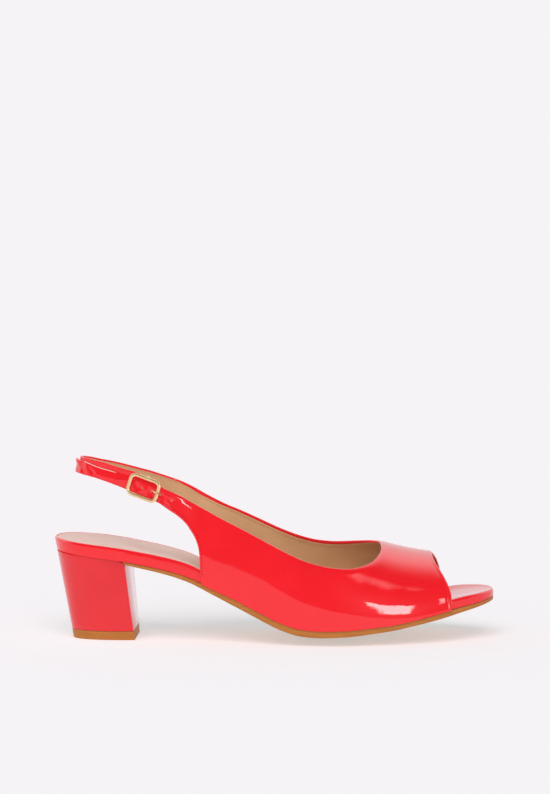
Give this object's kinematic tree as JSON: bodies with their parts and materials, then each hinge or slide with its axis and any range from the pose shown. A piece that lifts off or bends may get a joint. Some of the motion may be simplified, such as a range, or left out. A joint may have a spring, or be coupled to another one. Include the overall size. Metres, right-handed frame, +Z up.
{
  "type": "block heel slingback sandal",
  "caption": "Right-foot peep-toe slingback sandal with a block heel, glossy closed sides, a buckled heel strap and a thin rounded sole.",
  "frame": {"origin": "middle of the bounding box in plan, on the floor plane under heel and forefoot", "axes": "+X to the toe, +Y to the inner side of the foot, +Z up"},
  "size_m": [0.2398, 0.0809, 0.0993],
  "materials": {
    "red_patent": "high gloss patent",
    "tan_sole": "matte",
    "beige_lining": "soft matte",
    "gold_metal": "polished"
  },
  "bodies": {
    "root": {"top_lift": "tan_sole", "heel_block": "red_patent", "outsole": "tan_sole", "footbed": "red_patent", "insole_sock": "beige_lining", "upper": "red_patent", "sling_strap": "red_patent", "buckle_frame": "gold_metal", "buckle_prong": "gold_metal"}
  },
  "joints": []
}
